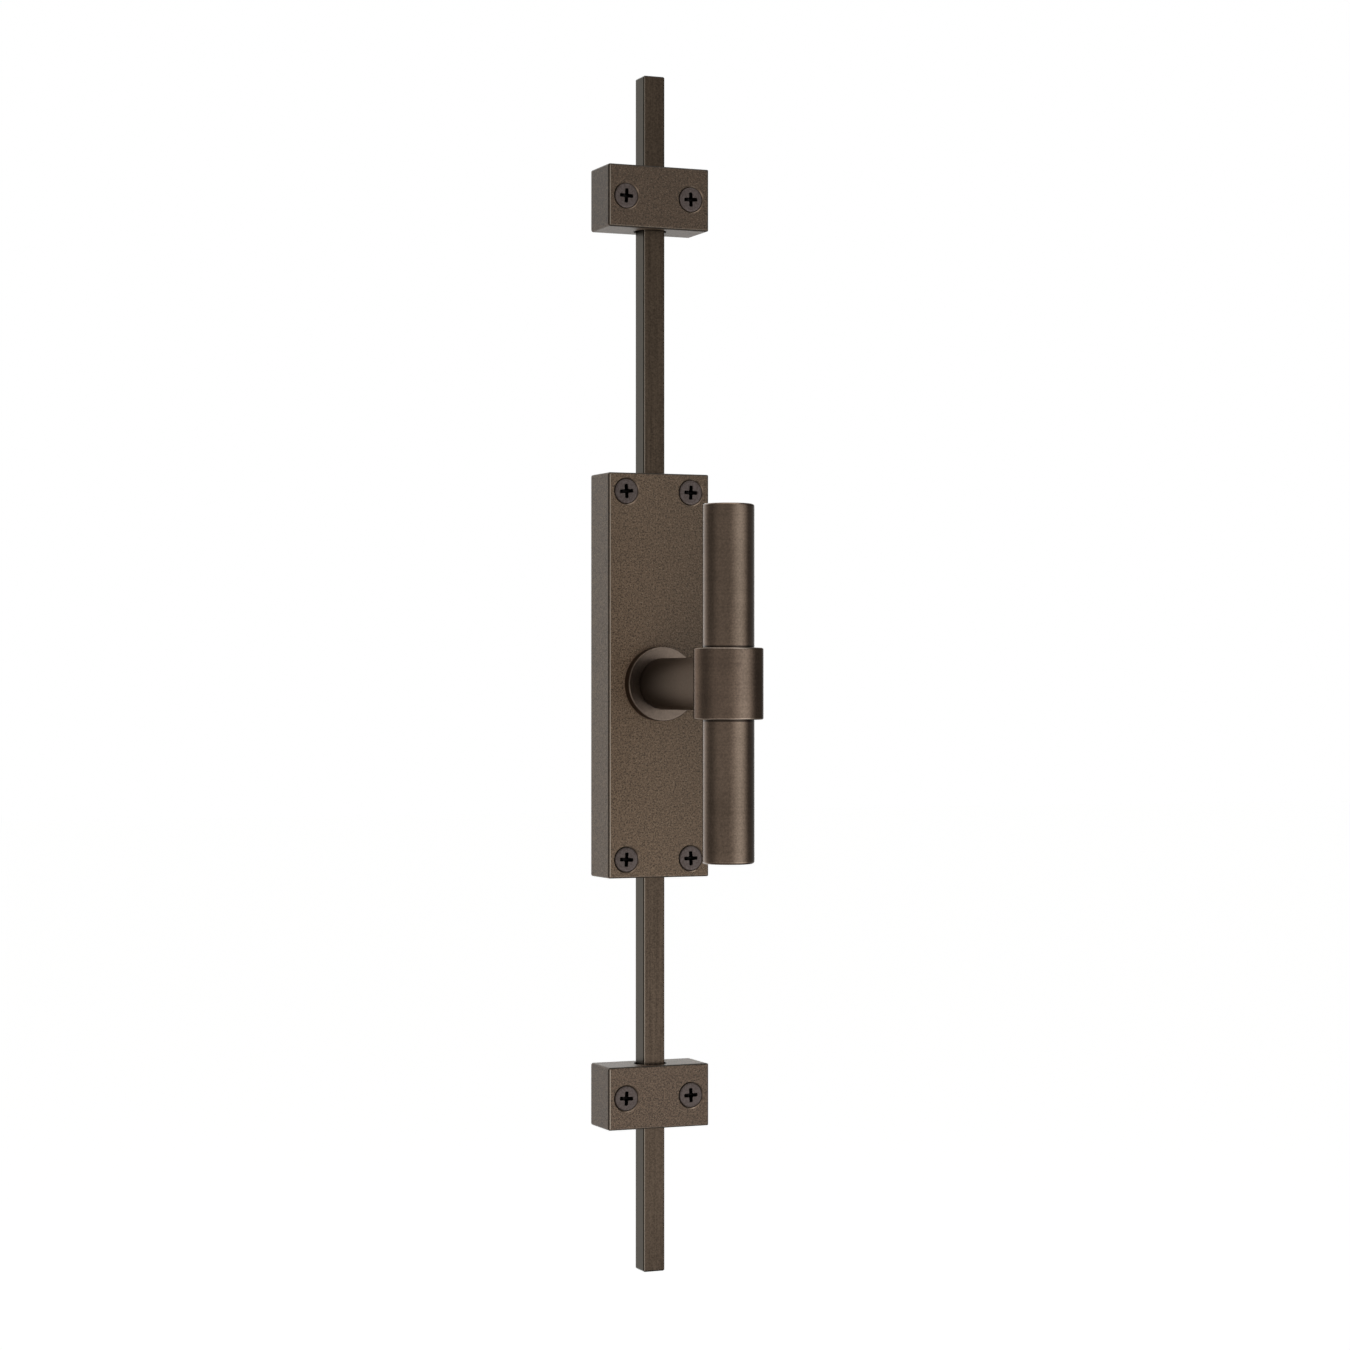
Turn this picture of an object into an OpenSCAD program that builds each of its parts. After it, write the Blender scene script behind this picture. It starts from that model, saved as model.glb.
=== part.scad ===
// Cremone bolt: a T-handle turns a pinion, which draws two square rods into the case.
// +Z runs up the rods, the front faces -Y, and the door's face is the plane y = 0.
// The origin is where the spindle's axis meets the door's face.
// Forward distances are measured from the door's face towards the front.

/* [Case] */
// Width of the case and of both rod guides
case_w = 38; // [36:0.5:46]
// Height of the case
case_h = 142; // [138:1:180]
// Depth of the case and of both rod guides, from the door to the front face
case_t = 17; // [16:0.5:20]
// Distance of the spindle below the middle of the case
spindle_drop = 3; // [0:0.5:4]
// Thickness of the case's front wall
front_wall = 3; // [2.4:0.1:3.2]
// Thickness of the case's side walls
side_wall = 3; // [2.6:0.1:3.6]
// Thickness of the back plate
back_t = 3; // [2.6:0.1:3.2]
// Width of the ledge that the back plate rests on, all around the mechanism
plate_ledge = 1; // [0.6:0.1:1.4]
// Radius of the back plate's corners
plate_corner_r = 2; // [1:0.5:3]
// Radius of the two bosses inside the case that take the back plate's screws
boss_r = 4; // [3:0.1:4.5]
// Rounding of the edges of the case and guides
edge_r = 0.8; // [0.3:0.1:1.2]

/* [Rods and guides] */
// Width of the square rods
rod_w = 8; // [7:0.5:9]
// Rounding of the rods' long edges
rod_edge_r = 0.5; // [0.2:0.1:0.8]
// Chamfer around the free end of each rod
rod_chamfer = 0.5; // [0.2:0.1:1]
// Height of each rod guide
guide_h = 22; // [16:0.5:30]
// Height of the upper guide's middle above the spindle
upper_guide_up = 171; // [120:1:400]
// Depth of the lower guide's middle below the spindle
lower_guide_down = 145; // [120:1:400]
// Length of the upper rod that stands out above its guide
upper_bolt_out = 32.5; // [20:0.5:80]
// Length of the lower rod that stands out below its guide
lower_bolt_out = 51; // [20:0.5:80]
// Play of the rods' corners in the round bores of the guides
guide_play = 0.4; // [0.2:0.05:0.6]

/* [Fixing screws] */
// Distance between the two screws of a row
screw_spacing = 24.4; // [22:0.2:26]
// Distance of the case's screws from its upper and lower end
screw_inset = 6.5; // [6:0.1:7.5]
// Diameter of a screw's head
screw_head_d = 8.8; // [8:0.1:9]
// Diameter of the plain shank inside the case
screw_shank_d = 4.4; // [4:0.1:4.6]
// Diameter over the thread, which stands out behind the door's face
screw_thread_d = 5; // [4.7:0.1:5.2]
// Length of a screw, from the top of its head to its point
screw_l = 30; // [26:1:50]
// Length of a screw's tapered point
screw_tip_l = 5; // [3:0.5:6]
// Depth of the heads below the front face
screw_sink = 0.2; // [0.1:0.05:0.4]
// Height of the straight rim of a screw's head
screw_rim = 0.2; // [0.1:0.05:0.3]
// Span of the cross recess across two of its wings
cross_span = 5.3; // [4.6:0.1:5.6]
// Width of the wings of the cross recess
cross_wing = 1.3; // [1:0.1:1.5]
// Depth of the cross recess
cross_depth = 2.2; // [1.6:0.1:2.4]

/* [Handle] */
// Distance of the bar's axis in front of the case's face
bar_reach = 61; // [52:1:75]
// Diameter of the bar
bar_d = 17.5; // [16:0.5:19]
// Length of the bar
bar_l = 120; // [90:1:140]
// Rounding of the bar's ends
bar_edge_r = 0.9; // [0.4:0.1:2]
// Diameter of the ring that grips the bar
ring_d = 23.5; // [22.5:0.5:27]
// Height of the ring
ring_h = 24; // [21:0.5:32]
// Rounding of the ring's edges
ring_edge_r = 0.6; // [0.3:0.1:1]
// Diameter of the neck
neck_d = 18; // [17:0.5:19.5]
// Rounding of the neck's end at the collar
neck_edge_r = 0.5; // [0.2:0.1:0.8]
// Diameter of the collar
collar_d = 26; // [23:0.5:30]
// Height of the collar in front of the case's face
collar_t = 4; // [2.5:0.5:6]
// Rounding of the collar's front edge
collar_edge_r = 0.4; // [0.2:0.1:0.8]
// Distance of the set screw in front of the case's face
set_screw_reach = 17; // [13:0.5:20]
// Diameter of the set screw
set_screw_d = 5; // [4:0.5:5.5]
// Width across the flats of the set screw's hexagon socket
set_screw_hex = 2.5; // [2:0.1:2.5]
// Depth of the set screw below the neck's underside
set_screw_sink = 0.6; // [0.3:0.1:1]
// Diameter of the screw that ties the neck, ring and bar together
bar_screw_d = 4; // [3:0.5:4.5]
// Height of that screw's head
bar_screw_head_h = 3; // [2:0.5:4]
// Width across the flats of that screw's hexagon socket
bar_screw_hex = 3; // [2:0.1:3]
// Depth of that screw's end inside the bar
bar_screw_grip = 7; // [5:0.5:8]

/* [Drive] */
// Pitch radius of the pinion: a quarter turn moves each rod by this times pi / 2
pitch_r = 10; // [9:0.1:10.5]
// Backlash of the teeth, measured along the pitch line
backlash = 0.16; // [0.08:0.02:0.3]
// Height of the crosshead that joins each rod to its rack
head_h = 10; // [8:0.5:10.5]
// Width of the square spindle
spindle_sq = 7; // [6:0.25:7.5]
// Length of the spindle's square end inside the neck
spindle_grip = 20; // [18:0.5:24]
// Radius of the spindle's front journal
journal_r = 6; // [5.6:0.1:6.2]
// Step from the spindle's square down to its rear journal, and to the head of the tie screw
square_step = 0.1; // [0.05:0.05:0.3]
// Free depth of the neck's socket between the spindle and the tie screw
socket_room = 1; // [0.5:0.1:2]
// Thickness of the spindle's thrust flange
flange_t = 1; // [0.8:0.1:1.4]
// Distance of the flange and washers from the racks' teeth
flange_clear = 1; // [0.5:0.1:1.2]
// Wall of the collar's spigot around the front journal
spigot_wall = 2.5; // [1.8:0.1:3]
// Depth of the rear bearing in the back plate
bearing_depth = 2.2; // [1.6:0.1:2.3]
// Thickness taken up by the thrust washer, and by the dished washer
washer_t = 0.8; // [0.6:0.1:1]
// Radius of the pins that hold the rods in their crossheads
pin_r = 1.5; // [1:0.1:2]
// Diameter of the back plate's screws
plate_screw_d = 2.5; // [2:0.1:3]
// Head diameter of the back plate's screws
plate_head_d = 4.6; // [4:0.1:5]
// Length of the back plate's screws
plate_screw_l = 8; // [6:0.5:10]
// Width of the slot in the back plate's screws
plate_slot_w = 0.8; // [0.5:0.1:1]
// Depth of the slot in the back plate's screws
plate_slot_depth = 0.7; // [0.4:0.1:0.9]

/* [Clearances] */
// Radial clearance of the journals
running_gap = 0.05; // [0.02:0.01:0.1]
// Clearance of the sliding racks and rods, on each side
slide_gap = 0.2; // [0.1:0.05:0.3]
// Clearance of the rods in the case's square passages, on each side
passage_gap = 0.1; // [0.05:0.05:0.3]
// Gap left at the racks' end stops
stop_gap = 0.2; // [0.1:0.05:0.4]
// Axial gap beside each washer and behind the neck
thrust_gap = 0.1; // [0.05:0.05:0.2]
// Gap between seated pieces
seat_gap = 0.02; // [0.01:0.01:0.05]
// Radial clearance of the fixing screws in their holes
screw_gap = 0.2; // [0.1:0.05:0.3]

/* [Hidden] */
$fn = 64;
// Distance by which cuts run past the faces that they open
cut = 1;

bronze = [0.36, 0.30, 0.25];
bronze_dark = [0.27, 0.23, 0.19];
screw_tone = [0.31, 0.27, 0.26];
steel = [0.62, 0.63, 0.65];
brass = [0.78, 0.62, 0.32];

// Teeth: an involute pinion and straight-sided racks, whose teeth are short enough not to undercut it
pinion_teeth = 16;
pressure = 20;
flank_steps = 5;
rack_teeth_below = 1;
rack_teeth_above = 6;
leg_tail_pitches = 2;
rack_addendum_share = 0.9;
rack_dedendum_share = 1.25;
pinion_dedendum_share = 1.12;
tooth_module = 2 * pitch_r / pinion_teeth;
pitch = PI * tooth_module;
rack_addendum = rack_addendum_share * tooth_module;
tip_r = pitch_r + tooth_module;
root_r = pitch_r - pinion_dedendum_share * tooth_module;
base_r = pitch_r * cos(pressure);
rack_tip_x = pitch_r - rack_addendum;
rack_root_x = pitch_r + rack_dedendum_share * tooth_module;
travel = pitch_r * PI / 2;

// Space for the mechanism, and the two slides in it
case_z = spindle_drop;
case_top = case_z + case_h / 2;
case_bottom = case_z - case_h / 2;
cavity_w = case_w - 2 * side_wall;
cavity_front = case_t - front_wall;
rack_w = cavity_w - 2 * slide_gap;
rack_back = back_t + slide_gap;
rack_front = cavity_front - slide_gap;
leg_w = rack_w / 2 - rack_root_x;
leg_tail = leg_tail_pitches * pitch;
head_z = 2 * travel + leg_tail + stop_gap;
cavity_half = head_z + head_h + stop_gap;
plate_w = cavity_w + 2 * plate_ledge;
plate_half = cavity_half + plate_ledge;
// The bosses stand midway between the pinion and the crossheads where these come nearest
boss_z = (tip_r + head_z - travel) / 2;

// Rods and the square and round openings that they pass
rod_mid = case_t / 2;
rod_top = upper_guide_up + guide_h / 2 + upper_bolt_out;
rod_bottom = lower_guide_down + guide_h / 2 + lower_bolt_out;
passage_w = rod_w + 2 * passage_gap;
rod_socket_w = rod_w + 2 * seat_gap;
rod_corner_r = (rod_w / 2 - rod_edge_r) * sqrt(2) + rod_edge_r;
guide_bore_r = rod_corner_r + guide_play;

// Spindle stack, from the door's face forwards
pinion_back = back_t + washer_t + 2 * thrust_gap;
flange_front = cavity_front - washer_t - 2 * thrust_gap;
flange_back = flange_front - flange_t;
flange_r = rack_tip_x - flange_clear;
rear_journal_r = spindle_sq / 2 - square_step;
collar_front = case_t + collar_t;
neck_back = collar_front + 2 * thrust_gap;
spindle_front = neck_back + spindle_grip;
socket_w = spindle_sq + 2 * seat_gap;
socket_front = spindle_front + socket_room + bar_screw_head_h;
spigot_r = journal_r + spigot_wall;

// Handle
bar_mid = case_t + bar_reach;
bar_r = bar_d / 2;
ring_r = ring_d / 2;
neck_r = neck_d / 2;
bar_screw_r = bar_screw_d / 2;
bar_screw_head_r = spindle_sq / 2 - square_step;
bar_screw_end = bar_mid - bar_r + bar_screw_grip;
set_screw_r = set_screw_d / 2;
set_screw_mid = case_t + set_screw_reach;

// Fixing screws
head_r = screw_head_d / 2;
sink_r = head_r + screw_sink + screw_rim + seat_gap;
screw_hole_r = screw_thread_d / 2 + screw_gap;
head_top = case_t - screw_sink;
screw_end = head_top - screw_l;
plate_shank_r = plate_screw_d / 2;
plate_head_r = plate_head_d / 2;
case_screw_rows = [case_top - screw_inset, case_bottom + screw_inset];

// A rectangle with four rounded corners
module round_rect(w, h, r) {
    square([w, h - 2 * r], center = true);
    square([w - 2 * r, h], center = true);
    for (x = [-1, 1], y = [-1, 1])
        translate([x * (w / 2 - r), y * (h / 2 - r)]) circle(r = r);
}

// A rectangle that starts at the door's face and has rounded corners only at the front
module front_round_rect(w, t, r) {
    translate([-w / 2, r - t]) square([w, t - r]);
    translate([r - w / 2, -t]) square([w - 2 * r, t]);
    for (x = [-1, 1])
        translate([x * (w / 2 - r), r - t]) circle(r = r);
}

// A block on the door's face with rounded front edges and corners
module rounded_block(w, h, t, r) {
    intersection() {
        linear_extrude(height = h, center = true) front_round_rect(w, t, r);
        rotate([0, 90, 0]) linear_extrude(height = w, center = true) front_round_rect(h, t, r);
        forward(0, t) round_rect(w, h, r);
    }
}

// A flat outline, drawn as seen from the front, between two forward distances
module forward(from, to) {
    rotate([90, 0, 0]) translate([0, 0, from]) linear_extrude(height = to - from) children();
}

// A turned piece on an axis that runs forwards; the outline is radius against forward distance
module turned() {
    rotate([90, 0, 0]) rotate_extrude() children();
}

// A round bar on the Z axis with rounded ends
module round_bar(r, h, edge) {
    rotate_extrude() {
        translate([0, edge - h / 2]) square([r, h - 2 * edge]);
        translate([0, -h / 2]) square([r - edge, h]);
        for (y = [-1, 1])
            translate([r - edge, y * (h / 2 - edge)]) circle(r = edge);
    }
}

// The four wings of a cross recess, sunk from a forward distance
module cross_recess(top) {
    foot = cross_span / 6;
    for (turn = [0, 90])
        rotate([0, turn, 0]) linear_extrude(height = cross_wing, center = true)
            polygon([
                [-cross_span / 2, -top - cut],
                [cross_span / 2, -top - cut],
                [cross_span / 2, -top],
                [foot, cross_depth - top],
                [-foot, cross_depth - top],
                [-cross_span / 2, -top]
            ]);
}

// A countersunk fixing screw whose thread stands out behind the door's face
module fixing_screw() {
    shank_r = screw_shank_d / 2;
    thread_r = screw_thread_d / 2;
    cone_top = head_top - screw_rim;
    difference() {
        turned() polygon([
            [0, head_top],
            [head_r, head_top],
            [head_r, cone_top],
            [shank_r, cone_top - (head_r - shank_r)],
            [shank_r, 0],
            [thread_r, 0],
            [thread_r, screw_end + screw_tip_l],
            [0, screw_end]
        ]);
        cross_recess(head_top);
    }
}

// The hole of a fixing screw, with its countersink
module fixing_hole() {
    turned() polygon([
        [0, case_t + cut],
        [sink_r + cut, case_t + cut],
        [screw_hole_r, case_t - (sink_r - screw_hole_r)],
        [screw_hole_r, -cut],
        [0, -cut]
    ]);
}

// Places a child at both screws of a row
module screw_row(z) {
    for (x = [-1, 1])
        translate([x * screw_spacing / 2, 0, z]) children();
}

// Places a child at both bosses, which take the screws of the back plate
module boss_spots() {
    for (z = [-1, 1])
        translate([0, 0, z * boss_z]) children();
}

// A pinion flank's angle from the middle of its tooth, at a radius
function involute(angle) = tan(angle) * 180 / PI - angle;
function flank_angle(r) =
    90 * (1 - backlash / pitch) / pinion_teeth
    + involute(pressure) - involute(acos(base_r / max(r, base_r)));
function polar(r, angle) = [r * cos(angle), r * sin(angle)];
flank_radii = [root_r, for (i = [0:flank_steps]) base_r + (tip_r - base_r) * i / flank_steps];

// Outline of the pinion, with gaps on the left and right where the racks mesh
module pinion_outline() {
    last = len(flank_radii) - 1;
    polygon([
        for (tooth = [0:pinion_teeth - 1])
            let (middle = (tooth + 0.5) * 360 / pinion_teeth)
                each concat(
                    [for (i = [0:last]) polar(flank_radii[i], middle - flank_angle(flank_radii[i]))],
                    [for (i = [last:-1:0]) polar(flank_radii[i], middle + flank_angle(flank_radii[i]))]
                )
    ]);
}

// Outline of one rack tooth, whose middle is at the spindle's height
module rack_tooth() {
    half = (pitch / 2 - backlash / 2) / 2;
    slope = tan(pressure);
    tip = half - rack_addendum * slope;
    foot = half + (rack_root_x - pitch_r) * slope;
    polygon([
        [rack_tip_x, -tip],
        [rack_tip_x, tip],
        [rack_root_x, foot],
        [rack_root_x + cut, foot],
        [rack_root_x + cut, -foot],
        [rack_root_x, -foot]
    ]);
}

// A crosshead with its rack leg, as the upper rod has it
module rack() {
    difference() {
        union() {
            forward(rack_back, rack_front)
                translate([-rack_w / 2, head_z]) square([rack_w, head_h]);
            forward(rack_back, rack_front)
                translate([rack_root_x, -leg_tail]) square([leg_w, leg_tail + head_z + cut]);
            for (tooth = [-rack_teeth_below:rack_teeth_above])
                forward(rack_back, rack_front) translate([0, tooth * pitch]) rack_tooth();
        }
        translate([-rod_socket_w / 2, -rod_mid - rod_socket_w / 2, head_z - cut])
            cube([rod_socket_w, rod_socket_w, head_h + 2 * cut]);
        pin_hole();
    }
}

// The hole for the pin through a crosshead and its rod
module pin_hole() {
    translate([0, 0, head_z + head_h / 2]) forward(back_t, cavity_front) circle(r = pin_r + seat_gap);
}

// The pin itself
module rod_pin() {
    translate([0, 0, head_z + head_h / 2]) forward(rack_back, rack_front) circle(r = pin_r);
}

// A gable whose two slopes chamfer the upper end of a rod
module rod_gable(top) {
    eave = rod_w / 2 + cut;
    eave_z = top - rod_chamfer - cut;
    rotate([90, 0, 0]) linear_extrude(height = 2 * rod_w, center = true) polygon([
        [-eave, 0],
        [eave, 0],
        [eave, eave_z],
        [0, eave_z + eave],
        [-eave, eave_z]
    ]);
}

// A square rod that rises from its crosshead to a height above the spindle
module rod(top) {
    difference() {
        translate([0, -rod_mid, 0]) intersection() {
            translate([0, 0, head_z]) linear_extrude(height = top - head_z)
                round_rect(rod_w, rod_w, rod_edge_r);
            rod_gable(top);
            rotate([0, 0, 90]) rod_gable(top);
        }
        pin_hole();
    }
}

// A block with a round bore that steadies a rod
module guide() {
    difference() {
        rounded_block(case_w, guide_h, case_t, edge_r);
        translate([0, -rod_mid, -guide_h]) cylinder(r = guide_bore_r, h = 2 * guide_h);
        screw_row(0) fixing_hole();
    }
}

// The square passage of a rod through one end of the case
module rod_passage(from, to) {
    translate([-passage_w / 2, -rod_mid - passage_w / 2, from]) cube([passage_w, passage_w, to - from]);
}

module case() color(bronze) difference() {
    translate([0, 0, case_z]) rounded_block(case_w, case_h, case_t, edge_r);
    forward(-cut, cavity_front) difference() {
        square([cavity_w, 2 * cavity_half], center = true);
        for (z = [-1, 1])
            translate([0, z * boss_z]) circle(r = boss_r);
    }
    forward(-cut, back_t)
        round_rect(plate_w + 2 * seat_gap, 2 * plate_half + 2 * seat_gap, plate_corner_r);
    rod_passage(cavity_half - cut, case_top + cut);
    rod_passage(case_bottom - cut, cut - cavity_half);
    forward(cavity_front - cut, case_t + cut) circle(r = spigot_r + seat_gap);
    for (z = case_screw_rows)
        screw_row(z) fixing_hole();
    boss_spots() forward(0, plate_screw_l + cut) circle(r = plate_shank_r + seat_gap);
}

module back_plate() color(steel) difference() {
    forward(0, back_t) round_rect(plate_w, 2 * plate_half, plate_corner_r);
    forward(back_t - bearing_depth, back_t + cut) circle(r = rear_journal_r + running_gap);
    boss_spots() turned() polygon([
        [0, -cut],
        [plate_head_r + seat_gap + cut, -cut],
        [plate_shank_r + seat_gap, plate_head_r - plate_shank_r],
        [plate_shank_r + seat_gap, back_t + cut],
        [0, back_t + cut]
    ]);
}

module back_plate_screws() color(steel) boss_spots() difference() {
    turned() polygon([
        [0, 0],
        [plate_head_r, 0],
        [plate_shank_r, plate_head_r - plate_shank_r],
        [plate_shank_r, plate_screw_l],
        [0, plate_screw_l]
    ]);
    forward(-cut, plate_slot_depth) square([plate_head_d + cut, plate_slot_w], center = true);
}

module collar() color(bronze) difference() {
    turned() {
        translate([0, case_t]) square([collar_d / 2, collar_t - collar_edge_r]);
        translate([0, case_t]) square([collar_d / 2 - collar_edge_r, collar_t]);
        translate([collar_d / 2 - collar_edge_r, collar_front - collar_edge_r]) circle(r = collar_edge_r);
        translate([0, cavity_front]) square([spigot_r, front_wall + cut]);
    }
    forward(cavity_front - cut, collar_front + cut) circle(r = journal_r + running_gap);
}

module thrust_washer() color(brass) forward(flange_front + thrust_gap, cavity_front - thrust_gap)
    difference() {
        circle(r = flange_r);
        circle(r = journal_r + thrust_gap);
    }

// A dished washer, whose inner edge rests on the back plate and outer edge on the pinion
module spring_washer() color(steel) turned() polygon([
    [rear_journal_r + thrust_gap, back_t + thrust_gap],
    [flange_r, back_t + thrust_gap + washer_t / 2],
    [flange_r, back_t + thrust_gap + washer_t],
    [rear_journal_r + thrust_gap, back_t + thrust_gap + washer_t / 2]
]);

module case_screws() color(screw_tone)
    for (z = case_screw_rows)
        screw_row(z) fixing_screw();

module upper_guide() color(bronze) translate([0, 0, upper_guide_up]) guide();

module upper_guide_screws() color(screw_tone) screw_row(upper_guide_up) fixing_screw();

module lower_guide() color(bronze) translate([0, 0, -lower_guide_down]) guide();

module lower_guide_screws() color(screw_tone) screw_row(-lower_guide_down) fixing_screw();

// Rear journal, square seat of the pinion, thrust flange, front journal and square end in one piece
module drive_spindle() color(steel) union() {
    forward(back_t - bearing_depth + thrust_gap, pinion_back + cut) circle(r = rear_journal_r);
    forward(pinion_back, flange_back + cut) square(spindle_sq, center = true);
    forward(flange_back, flange_front) circle(r = flange_r);
    forward(flange_front - cut / 2, neck_back) circle(r = journal_r);
    forward(neck_back - cut, spindle_front) square(spindle_sq, center = true);
}

module pinion() color(steel) forward(pinion_back, flange_back) difference() {
    pinion_outline();
    square(socket_w, center = true);
}

module handle_neck() color(bronze) difference() {
    turned() {
        translate([0, neck_back + neck_edge_r]) square([neck_r, bar_mid - neck_back - neck_edge_r]);
        translate([0, neck_back]) square([neck_r - neck_edge_r, bar_mid - neck_back]);
        translate([neck_r - neck_edge_r, neck_back + neck_edge_r]) circle(r = neck_edge_r);
    }
    translate([0, -bar_mid, 0]) cylinder(r = ring_r + seat_gap, h = 2 * ring_h, center = true);
    forward(neck_back - cut, socket_front) square(socket_w, center = true);
    forward(socket_front - cut, bar_mid) circle(r = bar_screw_r + seat_gap);
    translate([0, -set_screw_mid, -neck_r - cut]) cylinder(r = set_screw_r + seat_gap, h = neck_r + cut);
}

module grip_ring() color(bronze) difference() {
    translate([0, -bar_mid, 0]) round_bar(ring_r, ring_h, ring_edge_r);
    translate([0, -bar_mid, 0]) cylinder(r = bar_r + seat_gap, h = 2 * ring_h, center = true);
    forward(bar_mid - ring_d, bar_mid) circle(r = bar_screw_r + seat_gap);
}

module grip_bar() color(bronze) difference() {
    translate([0, -bar_mid, 0]) round_bar(bar_r, bar_l, bar_edge_r);
    forward(bar_mid - bar_d, bar_screw_end + cut) circle(r = bar_screw_r + seat_gap);
}

// A headless screw that bears on the underside of the spindle
module set_screw() color(bronze_dark) translate([0, -set_screw_mid, set_screw_sink - neck_r]) difference() {
    cylinder(r = set_screw_r, h = neck_r - set_screw_sink - spindle_sq / 2 - seat_gap);
    translate([0, 0, -cut]) cylinder(d = set_screw_hex / cos(30), h = cut + set_screw_hex, $fn = 6);
}

// A cap screw at the bottom of the neck's socket, driven before the spindle goes in
module bar_screw() color(steel) difference() {
    union() {
        forward(socket_front - bar_screw_head_h, socket_front) circle(r = bar_screw_head_r);
        forward(socket_front - cut, bar_screw_end) circle(r = bar_screw_r);
    }
    forward(socket_front - bar_screw_head_h - cut, socket_front - bar_screw_head_h / 2)
        circle(d = bar_screw_hex / cos(30), $fn = 6);
}

module upper_rod() color(bronze_dark) rod(rod_top);

module upper_rack() color(steel) rack();

module upper_rod_pin() color(steel) rod_pin();

// The lower slide is the upper one, turned half round about the spindle
module lower_rod() color(bronze_dark) rotate([0, 180, 0]) rod(rod_bottom);

module lower_rack() color(steel) rotate([0, 180, 0]) rack();

module lower_rod_pin() color(steel) rotate([0, 180, 0]) rod_pin();

case();
back_plate();
back_plate_screws();
collar();
thrust_washer();
spring_washer();
case_screws();
upper_guide();
upper_guide_screws();
lower_guide();
lower_guide_screws();
drive_spindle();
pinion();
handle_neck();
grip_ring();
grip_bar();
set_screw();
bar_screw();
upper_rod();
upper_rack();
upper_rod_pin();
lower_rod();
lower_rack();
lower_rod_pin();
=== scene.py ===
# %% [markdown]
# A cremone bolt locks a tall door or window at its top and bottom edge. Turning the T-handle a quarter
# turn drives a pinion inside the flat case, and the pinion draws two square rods into the case.
# The pieces arrive as finished solids at their real size, so this lesson never moves or stretches them.
# It gives each one its finish, swaps the plain screws for threaded ones, and sets up light and camera.

# %% Load the bolt
import math

import bmesh
import bpy
from mathutils import Matrix, Vector


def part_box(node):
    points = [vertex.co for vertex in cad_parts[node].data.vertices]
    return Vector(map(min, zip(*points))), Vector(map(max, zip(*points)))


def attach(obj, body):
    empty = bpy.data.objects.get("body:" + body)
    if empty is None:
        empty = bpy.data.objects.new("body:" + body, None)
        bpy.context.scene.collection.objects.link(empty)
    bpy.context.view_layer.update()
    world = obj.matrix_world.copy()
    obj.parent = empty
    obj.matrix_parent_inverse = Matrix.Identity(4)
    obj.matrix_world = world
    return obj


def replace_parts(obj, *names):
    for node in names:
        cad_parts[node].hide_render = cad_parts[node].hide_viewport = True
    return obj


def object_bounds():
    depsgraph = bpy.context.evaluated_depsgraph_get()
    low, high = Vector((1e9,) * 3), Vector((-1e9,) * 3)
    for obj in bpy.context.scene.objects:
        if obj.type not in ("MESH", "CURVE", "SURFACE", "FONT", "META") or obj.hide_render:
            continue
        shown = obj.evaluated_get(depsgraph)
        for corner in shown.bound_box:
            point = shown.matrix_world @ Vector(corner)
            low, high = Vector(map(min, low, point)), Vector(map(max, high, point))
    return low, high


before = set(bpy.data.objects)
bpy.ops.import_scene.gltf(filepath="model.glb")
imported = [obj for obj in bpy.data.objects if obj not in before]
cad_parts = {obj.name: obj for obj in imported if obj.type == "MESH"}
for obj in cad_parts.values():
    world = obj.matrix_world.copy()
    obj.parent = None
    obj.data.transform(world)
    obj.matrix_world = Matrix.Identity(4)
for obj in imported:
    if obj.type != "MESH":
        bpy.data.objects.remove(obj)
cad_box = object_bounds()
MM = 0.001
print("pieces:", len(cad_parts))

# %% [markdown]
# Every finish below is a small graph of nodes. Adding each node by hand takes many lines, so two short
# classes do it. A Wire is the output of a node, and arithmetic on wires adds the Math nodes that it needs.
# A Graph adds any other kind of node: its settings are made first, then its sockets are filled.

# %% Write shader graphs as expressions
class Wire:
    """The output of a node, which can be used in arithmetic."""

    def __init__(self, graph, socket):
        self.graph = graph
        self.socket = socket

    def __add__(self, other):
        return self.graph.maths("ADD", self, other)

    def __sub__(self, other):
        return self.graph.maths("SUBTRACT", self, other)

    def __rsub__(self, other):
        return self.graph.maths("SUBTRACT", other, self)

    def __mul__(self, other):
        return self.graph.maths("MULTIPLY", self, other)

    __radd__ = __add__
    __rmul__ = __mul__


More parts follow.
